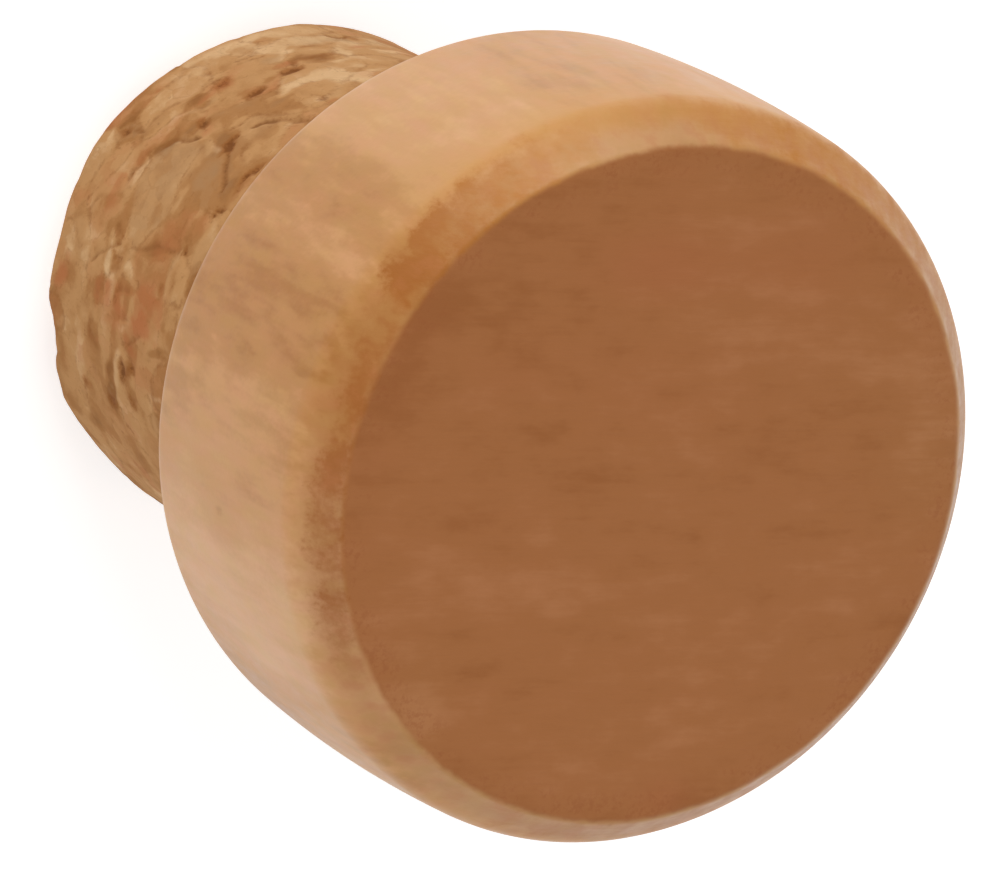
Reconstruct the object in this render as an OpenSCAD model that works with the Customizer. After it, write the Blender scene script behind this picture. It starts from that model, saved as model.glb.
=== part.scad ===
// Bottle stopper with a turned wooden cap and a cork shank, in millimetres.
// It stands on the tip of the cork: the axis is Z, the tip lies at z = 0 and the cap is on top.
// The cork is glued into a blind socket in the cap's underside.

/* [Wooden cap] */
// Widest diameter of the cap
cap_d = 28; // [25:0.5:36]
// Height of the cap, from its underside to its face
cap_h = 12.2; // [9:0.1:18]
// Height of the widest point above the underside
belly_h = 4.4; // [2:0.1:6]
// Radius of the barrel curve that runs up the side
side_curve_r = 68; // [40:1:200]
// Width of the shoulder, from the edge of the face out to where the side would end
shoulder_w = 1.15; // [0.8:0.05:2.5]
// Slope of the shoulder, below the level of the face
shoulder_angle = 51; // [40:1:65]
// Radius that blends the shoulder into the side
shoulder_blend_r = 1.4; // [0.5:0.1:2]
// Radius that eases the edge of the face
face_edge_r = 0.4; // [0.1:0.05:0.8]
// Radius round the rim of the underside
foot_edge_r = 0.75; // [0.2:0.05:1.5]

/* [Socket in the cap] */
// Depth of the socket that the cork is glued into
socket_depth = 5; // [3:0.5:7]
// How far the socket squeezes the cork in, on the radius
socket_squeeze = 0.15; // [0.05:0.05:0.4]
// Thickness of the glue round the cork, on the radius
glue_gap = 0.05; // [0.02:0.01:0.15]
// Chamfer round the mouth of the socket
mouth_chamfer = 0.3; // [0.1:0.05:0.5]

/* [Cork shank] */
// Diameter of the cork, which the neck of the bottle squeezes by about 1.5 mm
cork_d = 20; // [16:0.5:22]
// Length of the cork that shows below the cap
cork_reach = 19.3; // [12:0.1:30]
// Chamfer round the tip, which leads the cork into the neck
tip_chamfer = 1.5; // [0.5:0.1:3]

/* [Hidden] */
$fn = 180;

cap_r = cap_d / 2;
cork_r = cork_d / 2;
socket_r = cork_r - socket_squeeze;
glued_r = socket_r - glue_gap;
hair = 0.0001;

// Centre of the barrel curve, in the cap's own section of radius and height
side_centre = [cap_r - side_curve_r, belly_h];
// Edge of the face, before it is eased
face_r = side_radius(cap_h) - shoulder_w;

// Centres of the three small radii. Each touches the two lines or curves that it joins.
shoulder_out = [sin(shoulder_angle), cos(shoulder_angle)];
face_edge_centre = [face_r - face_edge_r * tan(shoulder_angle / 2), cap_h - face_edge_r];
foot_edge_centre = [inner_side_radius(foot_edge_r, foot_edge_r), foot_edge_r];
shoulder_blend_centre = blend_centre();

// Radius of the side at height z
function side_radius(z) = inner_side_radius(z, 0);

// Radius at height z of the side moved inwards by inset
function inner_side_radius(z, inset) =
    side_centre.x + sqrt(pow(side_curve_r - inset, 2) - pow(z - side_centre.y, 2));

// The point that lies shoulder_blend_r inside both the shoulder and the side
function blend_centre() =
    let (
        down = [shoulder_out.y, -shoulder_out.x],
        start = [face_r, cap_h] - shoulder_blend_r * shoulder_out,
        from_side = start - side_centre,
        along = from_side * down,
        reach = side_curve_r - shoulder_blend_r,
        run = sqrt(along * along - from_side * from_side + reach * reach) - along
    )
    start + run * down;

// Direction of a point from another, in degrees above level
function direction(from, to) = atan2(to.y - from.y, to.x - from.x);

function polar(r, angle) = r * [cos(angle), sin(angle)];

// What a round edge of radius r takes off a corner, between the directions low and high.
// It reaches a little past the corner, and its arc crosses the two sides by a hair, so that
// no sliver stays where they touch.
module edge_waste(centre, r, low, high) {
    half = (high - low) / 2;
    past = 1.2;
    translate(centre) difference() {
        polygon([
            [0, 0],
            polar(past * r, low),
            polar(past * r / cos(half), low + half),
            polar(past * r, high)
        ]);
        circle(r = r + hair);
    }
}

// Outside of the cap, as half a section
module cap_outline() {
    far = 2 * cap_d;
    difference() {
        intersection() {
            square([cap_d, cap_h]);
            translate(side_centre) circle(r = side_curve_r, $fn = 720);
            // Everything behind the slope of the shoulder
            translate([face_r, cap_h]) rotate(-shoulder_angle)
                translate([-far, -far]) square([2 * far, far]);
        }
        edge_waste(face_edge_centre, face_edge_r, 90 - shoulder_angle, 90);
        edge_waste(shoulder_blend_centre, shoulder_blend_r,
            direction(side_centre, shoulder_blend_centre), 90 - shoulder_angle);
        edge_waste(foot_edge_centre, foot_edge_r, -90, direction(side_centre, foot_edge_centre));
    }
}

// Blind socket with a chamfered mouth, as half a section that reaches past the underside
module socket_outline() {
    past = 1;
    polygon([
        [0, -past],
        [socket_r + mouth_chamfer + past, -past],
        [socket_r, mouth_chamfer],
        [socket_r, socket_depth],
        [0, socket_depth]
    ]);
}

// Turned from one piece of wood
module wood_cap() {
    color("peru") translate([0, 0, cork_reach]) rotate_extrude() difference() {
        cap_outline();
        socket_outline();
    }
}

// Plug of pressed cork granules: chamfered tip, straight shank, and the end in the socket,
// which is squeezed a little and reaches the socket's floor
module cork_shank() {
    color("burlywood") {
        cylinder(r1 = cork_r - tip_chamfer, r2 = cork_r, h = tip_chamfer);
        translate([0, 0, tip_chamfer]) cylinder(r = cork_r, h = cork_reach - tip_chamfer);
        translate([0, 0, cork_reach]) cylinder(r = glued_r, h = socket_depth);
    }
}

wood_cap();
cork_shank();
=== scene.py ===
# Cork stopper: its looks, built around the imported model.
# Shapes are worked out in millimetres and turned into metres when a mesh is made. An azimuth is in
# degrees round the stopper's axis, 0 on its -Y side and 90 on its +X side.

import math

import bpy
import numpy as np
from mathutils import Matrix, Vector


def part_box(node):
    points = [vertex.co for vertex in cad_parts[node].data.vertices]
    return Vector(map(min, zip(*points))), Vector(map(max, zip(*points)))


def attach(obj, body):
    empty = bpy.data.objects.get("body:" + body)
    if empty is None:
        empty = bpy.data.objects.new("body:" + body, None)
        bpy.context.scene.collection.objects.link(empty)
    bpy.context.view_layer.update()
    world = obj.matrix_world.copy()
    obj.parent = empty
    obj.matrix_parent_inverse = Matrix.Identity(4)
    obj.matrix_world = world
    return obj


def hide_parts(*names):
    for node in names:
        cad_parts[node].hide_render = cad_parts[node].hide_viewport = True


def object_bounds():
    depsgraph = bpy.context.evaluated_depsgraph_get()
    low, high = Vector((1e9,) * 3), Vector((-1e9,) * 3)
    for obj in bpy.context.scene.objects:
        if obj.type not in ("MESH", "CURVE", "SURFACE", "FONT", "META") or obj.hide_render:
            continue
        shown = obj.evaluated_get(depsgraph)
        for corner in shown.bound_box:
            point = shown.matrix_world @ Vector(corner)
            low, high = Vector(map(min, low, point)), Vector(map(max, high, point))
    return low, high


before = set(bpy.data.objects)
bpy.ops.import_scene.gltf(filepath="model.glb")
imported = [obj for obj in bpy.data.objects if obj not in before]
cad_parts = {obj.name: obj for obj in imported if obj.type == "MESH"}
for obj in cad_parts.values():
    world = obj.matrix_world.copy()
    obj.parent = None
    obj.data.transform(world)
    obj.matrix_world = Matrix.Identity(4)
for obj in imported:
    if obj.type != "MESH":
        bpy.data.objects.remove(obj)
cad_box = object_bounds()

MM = 0.001
COLUMNS = 560  # vertices round every ring of both pieces


# ---------------------------------------------------------------- camera and lights

CAMERA_TILT = math.radians(32.57)  # off the stopper's axis
CAMERA_ROLL = math.radians(120.14)
CAMERA_DISTANCE = 0.238
CAMERA_LENS, SENSOR_WIDTH = 243.74, 36
CLIP_START, CLIP_END = 0.01, 10
FACE_IN_VIEW = (0.00554, -0.00165)  # the middle of the cap's face, from the middle of the view

# Name, azimuth, elevation, distance and size in metres, and power
LIGHTS = [
    ("key", -52, 22, 0.45, 0.30, 1.00),
    ("fill", 55, 30, 0.50, 0.40, 0.60),
    ("back", 178, 8, 0.50, 0.40, 0.60),
]


def placed(name, data):
    """A new object in the scene."""
    thing = bpy.data.objects.new(name, data)
    bpy.context.collection.objects.link(thing)
    return thing


def make_camera():
    data = bpy.data.cameras.new("camera")
    data.lens, data.sensor_width = CAMERA_LENS, SENSOR_WIDTH
    data.clip_start, data.clip_end = CLIP_START, CLIP_END
    camera = placed("camera", data)
    turn = Matrix.Rotation(CAMERA_TILT, 3, "X") @ Matrix.Rotation(CAMERA_ROLL, 3, "Z")
    face = Vector((0, 0, cad_box[1].z))
    camera.location = face - turn @ Vector((*FACE_IN_VIEW, -CAMERA_DISTANCE))
    camera.rotation_euler = turn.to_euler()
    bpy.context.scene.camera = camera


def make_light(name, azimuth, elevation, distance, size, power):
    """A soft square light that looks at the middle of the stopper."""
    data = bpy.data.lights.new(name, "AREA")
    data.shape, data.size, data.energy = "SQUARE", size, power
    light = placed(name, data)
    a, e = math.radians(azimuth), math.radians(elevation)
    away = Vector((math.sin(a) * math.cos(e), -math.cos(a) * math.cos(e), math.sin(e)))
    light.location = (cad_box[0] + cad_box[1]) / 2 + distance * away
    light.rotation_euler = away.to_track_quat("Z", "Y").to_euler()


# ---------------------------------------------------------------- nodes

WHITE = (1, 1, 1, 1)


class Value:
    """An output of a node, or the node itself. Sums and products are nodes of their own."""

    def __init__(self, node, key=0):
        self.node, self.key = node, key

    def __getitem__(self, key):
        return Value(self.node, key)

    def maths(self, operation, other):
        return add(self.node.id_data, "Math", {0: self, 1: other}, operation=operation)

    def __add__(self, other):
        return self.maths("ADD", other)

    def __sub__(self, other):
        return self.maths("SUBTRACT", other)

    def __mul__(self, other):
        return self.maths("MULTIPLY", other)

    __radd__, __rmul__ = __add__, __mul__

    def step(self, low, high, to_low=0.0, to_high=1.0):
        """Smooth step from to_low, where the value is low, to to_high, where it is high."""
        inputs = {0: self, 1: low, 2: high, 3: to_low, 4: to_high}
        return add(self.node.id_data, "MapRange", inputs, interpolation_type="SMOOTHSTEP")


def add(tree, kind, inputs=None, **settings):
    """A new node with its settings. Its inputs are numbers or values."""
    node = tree.nodes.new("ShaderNode" + kind)
    for key, value in settings.items():
        setattr(node, key, value)
    for key, value in (inputs or {}).items():
        if isinstance(value, Value):
            tree.links.new(value.node.outputs[value.key], node.inputs[key])
        else:
            node.inputs[key].default_value = value
    return Value(node)


def rgb(r, g, b):
    """Linear colour with alpha, from the usual 0 to 255."""
    values = [v / 255 for v in (r, g, b)]
    return [v / 12.92 if v <= 0.04045 else ((v + 0.055) / 1.055) ** 2.4 for v in values] + [1]


def mix(share, first, second, blend="MIX"):
    """The first colour, with this share of the second one."""
    inputs = {0: share, 6: first, 7: second}
    tree = next(v.node.id_data for v in inputs.values() if isinstance(v, Value))
    return add(tree, "Mix", inputs, data_type="RGBA", blend_type=blend)[2]


def ramp(value, *stops):
    """Colour by value, from stops of a value and a colour from 0 to 255."""
    result = add(value.node.id_data, "ValToRGB", {0: value})
    result.node.color_ramp.interpolation = "EASE"
    elements = result.node.color_ramp.elements
    while len(elements) < len(stops):
        elements.new(0.5)
    for element, (at, *colour) in zip(elements, stops):
        element.position, element.color = at, rgb(*colour)
    return result


def attributes(tree, *names):
    """Values that the mesh carries."""
    return [add(tree, "Attribute", attribute_name=name)["Fac"] for name in names]


def scaled_place(tree, per_mm, turned=0.0):
    """Place on the piece, in units of the given number per millimetre along X, Y and Z.

    X is first turned round Z by the given degrees.
    """
    place = add(tree, "TexCoord")["Object"]
    if turned:
        turn = (0, 0, -math.radians(turned))
        place = add(tree, "Mapping", {"Vector": place, "Rotation": turn})
    return add(tree, "Mapping", {"Vector": place, "Scale": [1000 * s for s in per_mm]})


def noise(tree, per_mm, detail=2.0, roughness=0.5, turned=0.0):
    """Noise around 0, about -0.25 to 0.25, with its cells given per millimetre."""
    inputs = {"Vector": scaled_place(tree, per_mm, turned), "Scale": 1.0, "Detail": detail,
              "Roughness": roughness}
    return add(tree, "TexNoise", inputs)["Fac"] - 0.5


def flakes(tree, per_mm):
    """Ragged cells: a level and a hue of each around 0, and how near its border is, 0 to 1."""
    place = scaled_place(tree, per_mm)
    bend = add(tree, "TexNoise", {"Vector": place, "Scale": 1.4, "Detail": 3.0})["Color"]
    inputs = {0: bend, 1: (1.1, 1.1, 1.1), 2: place}
    place = add(tree, "VectorMath", inputs, operation="MULTIPLY_ADD")
    inputs = {"Vector": place, "Scale": 1.0}
    away = add(tree, "TexVoronoi", inputs, feature="DISTANCE_TO_EDGE")["Distance"]
    inputs["Smoothness"] = 0.25
    cells = add(tree, "TexVoronoi", inputs, feature="SMOOTH_F1")["Color"]
    parts = add(tree, "SeparateColor", {0: cells})
    return parts[0] - 0.5, parts[1] - 0.5, away.step(0.0, 0.10, 1, 0)


def new_material(name):
    material = bpy.data.materials.new(name)
    material.use_nodes = True
    material.node_tree.nodes.clear()
    return material, material.node_tree


def add_shader(tree, colour, roughness, specular, bumps, strength, height):
    """The surface of a piece, with bumps of the given height in millimetres."""
    inputs = {"Height": bumps, "Strength": strength, "Distance": height * MM}
    normal = add(tree, "Bump", inputs)
    inputs = {"Base Color": colour, "Roughness": roughness, "Normal": normal,
              "Specular IOR Level": specular}
    add(tree, "OutputMaterial", {"Surface": add(tree, "BsdfPrincipled", inputs)})


# ---------------------------------------------------------------- floor and world

WORLD_LIGHT = 0.5
FLOOR_SIZE = 4.0
FLOOR_GAP = 0.02 * MM
FLOOR_LIFT = 0.55
TOUCH_REACH, TOUCH_LIGHT = 0.5 * MM, 0.6


def seen_by(ray, *kinds):
    """1 for a ray from the camera or of one of the given kinds, 0 for any other."""
    seen = ray["Is Camera Ray"]
    for kind in kinds:
        seen = seen.maths("MAXIMUM", ray[f"Is {kind} Ray"])
    return seen


def floor_material():
    """White to the camera, to gloss and to glass, apart from where the stopper's shadow falls.

    It is clear from below, and glows towards what almost touches it, so that the tip can be seen.
    """
    material, tree = new_material("floor")
    ray = add(tree, "LightPath")
    touching = ray["Ray Length"].maths("LESS_THAN", TOUCH_REACH) * ray["Is Diffuse Ray"]
    lift = FLOOR_LIFT * seen_by(ray, "Glossy", "Transmission") + TOUCH_LIGHT * touching
    paint = add(tree, "BsdfDiffuse", {"Color": (0.8, 0.8, 0.8, 1)})
    glow = add(tree, "Emission", {"Color": WHITE, "Strength": lift})
    top = add(tree, "AddShader", {0: paint, 1: glow})
    behind = add(tree, "NewGeometry")["Backfacing"]
    shader = add(tree, "MixShader", {0: behind, 1: top, 2: add(tree, "BsdfTransparent")})
    add(tree, "OutputMaterial", {"Surface": shader})
    return material


def make_floor():
    half = FLOOR_SIZE / 2
    corners = [(x * half, y * half, -FLOOR_GAP) for x, y in ((-1, -1), (1, -1), (1, 1), (-1, 1))]
    mesh = bpy.data.meshes.new("floor")
    mesh.from_pydata(corners, [], [(0, 1, 2, 3)])
    mesh.materials.append(floor_material())
    floor = placed("floor", mesh)


def make_world():
    """Even soft light, which the camera sees as white."""
    world = bpy.data.worlds.new("studio")
    world.use_nodes = True
    tree = world.node_tree
    tree.nodes.clear()
    seen = seen_by(add(tree, "LightPath"), "Transmission")
    strength = WORLD_LIGHT + (1 - WORLD_LIGHT) * seen
    glow = add(tree, "Background", {"Color": WHITE, "Strength": strength})
    add(tree, "OutputWorld", {"Surface": glow})
    bpy.context.scene.world = world


# ---------------------------------------------------------------- turned meshes

def smooth_step(low, high, value):
    t = np.clip((value - low) / (high - low), 0, 1)
    return t * t * (3 - 2 * t)


def arc(centre, radius, start, end, steps):
    """Points of an arc in the section, from and to the given directions in degrees above level."""
    a = np.radians(np.linspace(start, end, steps + 1))
    return np.stack([centre[0] + radius * np.cos(a), centre[1] + radius * np.sin(a)], 1)


def along(start, end, step):
    """Points of a straight stretch of the section, about step apart."""
    start, end = np.array(start, float), np.array(end, float)
    count = max(1, round(np.linalg.norm(end - start) / step))
    return start + (end - start) * np.linspace(0, 1, count + 1)[:, None]


def joined(*stretches):
    """One list of points, with the shared ends of the stretches once."""
    points = np.concatenate(stretches)
    apart = np.linalg.norm(np.diff(points, axis=0), axis=1) > 1e-4
    return points[np.concatenate([[True], apart])]


def azimuth_of(points):
    return np.degrees(np.arctan2(points[:, 0], -points[:, 1]))


class Turned:
    """Closed mesh of a turned piece, as arrays in millimetres.

    Its section runs from the rim of a flat disc on the axis, down or up the outside, to a last ring
    that a fan closes. The disc has a square grid that is bent into a circle.
    """

    def __init__(self, section):
        self.section = section
        self.sign = 1 if section[0, 1] > section[:, 1].mean() else -1  # 1 if the disc looks up
        disc, disc_faces = self.disc(section[0])
        last = np.array([[0, 0, section[-1, 1]]])
        self.points = np.concatenate([self.rings(section[:, :1], section[:, 1:]), disc, last])
        self.normals = self.outward(len(disc))
        self.path = self.distance(disc)
        self.faces = self.ring_faces() + disc_faces + self.fan_faces()

    def rings(self, out, up):
        """Vectors round every ring, from their parts away from the axis and along it."""
        angle = 2 * np.pi * np.arange(COLUMNS) / COLUMNS
        x, y = np.sin(angle), -np.cos(angle)
        return np.stack([out * x, out * y, up + 0 * x], 2).reshape(-1, 3)

    def looking_out(self, faces):
        """The faces as lists, turned over if the disc looks down."""
        return faces[:, ::self.sign].tolist()

    def disc(self, rim):
        """Points inside the first ring, and the faces that fill it."""
        n = COLUMNS // 4
        u, v = np.meshgrid(np.linspace(-1, 1, n + 1), np.linspace(-1, 1, n + 1))
        across = np.abs(u) > np.abs(v)
        big, small = np.where(across, (u, v), (v, u))
        turn = np.pi / 4 * small / np.where(big == 0, 1, big)
        far, near = big * np.cos(turn), big * np.sin(turn)
        x, y = np.where(across, (far, near), (near, far))
        at_rim = np.abs(big) > 1 - 1e-9
        index = np.round(np.arctan2(x, -y) / (2 * np.pi) * COLUMNS).astype(int) % COLUMNS
        index[~at_rim] = len(self.section) * COLUMNS + np.arange((~at_rim).sum())
        points = np.stack([rim[0] * x, rim[0] * y, rim[1] + 0 * x], 2)[~at_rim]
        quads = np.stack([index[:-1, :-1], index[:-1, 1:], index[1:, 1:], index[1:, :-1]], 2)
        return points, self.looking_out(quads.reshape(-1, 4))

    def outward(self, inside):
        """Normals of the smooth form, before any relief."""
        run = np.gradient(self.section, axis=0)
        run /= np.linalg.norm(run, axis=1)[:, None]
        rings = self.rings(-self.sign * run[:, 1:], self.sign * run[:, :1])
        return np.concatenate([rings, [[0, 0, self.sign]] * inside, [[0, 0, -self.sign]]])

    def distance(self, disc):
        """Distance along the section from the disc's rim, below 0 on the disc."""
        steps = np.linalg.norm(np.diff(self.section, axis=0), axis=1)
        down = np.concatenate([[0], np.cumsum(steps)])
        inside = np.hypot(disc[:, 0], disc[:, 1]) - self.section[0, 0]
        return np.concatenate([np.repeat(down, COLUMNS), inside, [down[-1]]])

    def ring_faces(self):
        first = np.arange(len(self.section) - 1)[:, None] * COLUMNS
        here = np.arange(COLUMNS)[None]
        after = (here + 1) % COLUMNS
        quads = [first + here, first + COLUMNS + here, first + COLUMNS + after, first + after]
        return self.looking_out(np.stack(quads, 2).reshape(-1, 4))

    def fan_faces(self):
        ring = (len(self.section) - 1) * COLUMNS + np.arange(COLUMNS)
        tip = np.full(COLUMNS, len(self.points) - 1)
        return self.looking_out(np.stack([ring, tip, np.roll(ring, -1)], 1))

    def make(self, name, points, values, material):
        """The Blender object, with each named value as an attribute of the mesh."""
        mesh = bpy.data.meshes.new(name)
        mesh.from_pydata((points * MM).tolist(), [], self.faces)
        for key, value in values.items():
            layer = mesh.attributes.new(key, "FLOAT", "POINT")
            layer.data.foreach_set("value", np.asarray(value, np.float32))
        mesh.shade_smooth()
        mesh.materials.append(material)
        piece = placed(name, mesh)
        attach(piece, "root")
        return piece


class Noise:
    """Smooth seeded noise from -1 to 1, on a lattice that repeats after CELLS cells."""

    CELLS = 64

    def __init__(self, seed):
        self.lattice = np.random.default_rng(seed).uniform(-1, 1, (self.CELLS,) * 3)

    def __call__(self, points, cell):
        place = points / cell
        low = np.floor(place).astype(int)
        f = place - low
        f = f * f * (3 - 2 * f)
        value = 0
        for corner in np.ndindex(2, 2, 2):
            x, y, z = ((low + corner) % self.CELLS).T
            share = np.prod(np.where(corner, f, 1 - f), axis=1)
            value = value + share * self.lattice[x, y, z]
        return value


# ---------------------------------------------------------------- cork shank

CORK_SEED = 12
TIP_CHAMFER, TIP_ROUND_R, GLUED_INSET = 1.5, 0.35, 0.2
SIDE_STEP = 0.15  # between the rings of the side and of the chamfer
HALF_SIZE = 1.35  # of a usual granule
GRANULE_GAP = 1.9  # least distance between the middles of two granules
CHOSEN_ROOM = 1.55  # least distance from a chosen granule, in its own half sizes
PLACES_TRIED, POINTS_AT_ONCE = 60000, 20000
CORE = 4  # no granules are needed deeper than this below the side and above the tip
DEEP = 0.65  # how far below the surface the middles of chosen granules lie
BLEND = 12.0  # how sharply the tone changes from one granule to the next
PATCH_COUNT = 700
GOLDEN_SHARE = 0.6180339  # its multiples are spread evenly over 0 to 1
HOLE_LUCK = 0.78  # what that has to come to for a hole where three granules meet
CRACK_DEPTH, HOLE_DEPTH, LIP_HEIGHT, SEAM_DEPTH = 0.09, 0.10, 0.025, 0.022
SEEN = 58  # to this azimuth on both sides, cracks and lips come mostly from the tables
SEEN_HOLES = 72  # the same for holes
SEEN_HEIGHT = 12.8  # to this height, the patches there come from the table alone

# The rows of the next three tables may leave out zeros at their end.

# Granules on the side that shows most: azimuth, height, half width, half height, tone from 0,
# dark, to 1, pale, redness from 0 to 1, or greyness below 0, and tilt in degrees
CHOSEN_GRANULES = [
    (-3.5, 7.3, 2.35, 2, 0.52, -0.4), (1, 10.3, 1.4, 1, 0.35, 0.34),
    (-8.5, 10.2, 1, 1, 0.48, 0, -20), (-19, 11.1, 1.7, 1.3, 0.6, 0, -20),
    (-22, 8.2, 0.9, 1.3, 0.38, -0.05), (-17.8, 7.5, 0.4, 0.9, 0.44, 0.45),
    (-28.5, 8.3, 0.9, 1.5, 0.38, -0.1), (-32.5, 7.4, 0.8, 0.7, 0.4, -0.05),
    (-47, 8.5, 2.1, 1.1, 0.8, -0.1), (-50, 10.4, 1.3, 0.8, 0.72, 0, 20),
    (-38, 10.2, 1, 0.9, 0.6, 0.05), (-37, 6.1, 1.3, 0.8, 0.56, 0.1),
    (-51, 6.5, 0.9, 0.7, 0.5, -0.2), (-42, 5.1, 1.2, 0.8, 0.6, -0.05),
    (-27, 5.8, 1, 0.7, 0.44, -0.1), (-38, 3.9, 1.2, 0.8, 0.68, 0.1),
    (-13, 5.5, 1.4, 0.7, 0.3, -0.2, -15), (-25, 3.4, 2.2, 1.1, 0.67, 0.05, 3),
    (-54, 4, 1.9, 1.1, 0.74, -0.05, 5), (-10, 2.9, 0.9, 0.9, 0.44, -0.1),
    (-1, 3.6, 1.2, 1.2, 0.58, 0.25), (7, 4.3, 0.8, 1.2, 0.56, 0.15),
    (15, 3.4, 0.8, 1.8, 0.66, 0, 5), (27, 2.6, 1.25, 1, 0.42, 0.45, -20),
    (34, 3.6, 0.7, 1.2, 0.68, 0, 35), (42, 4.1, 1.6, 1, 0.56, 0.15, -15),
    (43, 6.9, 1.5, 0.65, 0.22, -0.4, -8), (57, 5.6, 2.3, 2.3, 0.46, 0.12),
    (53, 9.4, 1.6, 1.2, 0.5, 0.1, -20), (43, 10.2, 0.9, 0.9, 0.5, 0.05),
    (21.5, 9.8, 1.4, 0.95, 0.4, 0.62), (32, 9.5, 0.8, 1.5, 0.45, 0.3), (22, 7.7, 1, 0.8, 0.32, 0.3),
    (15.2, 7.75, 0.5, 0.6, 0.6, -0.15), (17, 5.95, 0.65, 0.4, 0.64, -0.2, 10),
    (10.5, 9.2, 0.7, 1.1, 0.44, -0.1), (13, 11.9, 1.5, 0.9, 0.54, -0.05, -10),
    (33, 11.5, 1.3, 0.8, 0.44, 0.25), (25, 5.8, 1, 0.7, 0.46, 0.12), (34, 5.7, 0.9, 0.7, 0.42, 0.1),
    (-64.6, 5.8, 1.7, 1.6, 0.66, 0.05, 10),
]

# Pairs of them, by their places in the table, that meet without a seam
FUSED = [(0, 1), (0, 2), (1, 2)]

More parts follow.
